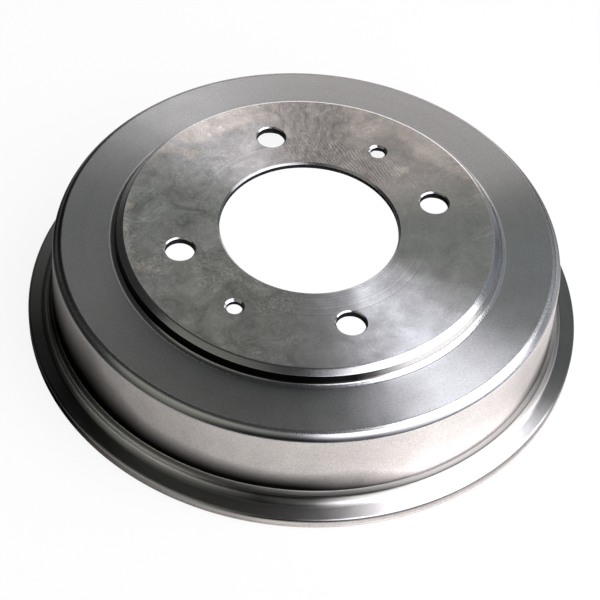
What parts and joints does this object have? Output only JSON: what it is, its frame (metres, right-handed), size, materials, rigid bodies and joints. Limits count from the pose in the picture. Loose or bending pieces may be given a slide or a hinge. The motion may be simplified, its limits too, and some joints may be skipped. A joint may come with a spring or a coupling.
{
  "type": "brake drum",
  "caption": "Flat cast-iron brake drum: a raised wheel seat with hub bore, stud and threaded jacking holes, a turned shoulder, a cast wall and a flanged open mouth round the braking surface.",
  "frame": {"origin": "on the axle's line, in the plane of the open mouth on which the drum stands", "axes": "+Z along the axle from the open mouth to the wheel seat, +X through the centre of a stud hole"},
  "size_m": [0.2432, 0.2432, 0.05],
  "materials": {
    "drum_iron": "grey iron, turned faces and flange, blasted as-cast wall, lightly oiled"
  },
  "bodies": {
    "root": {"brake_drum": "drum_iron"}
  },
  "joints": []
}
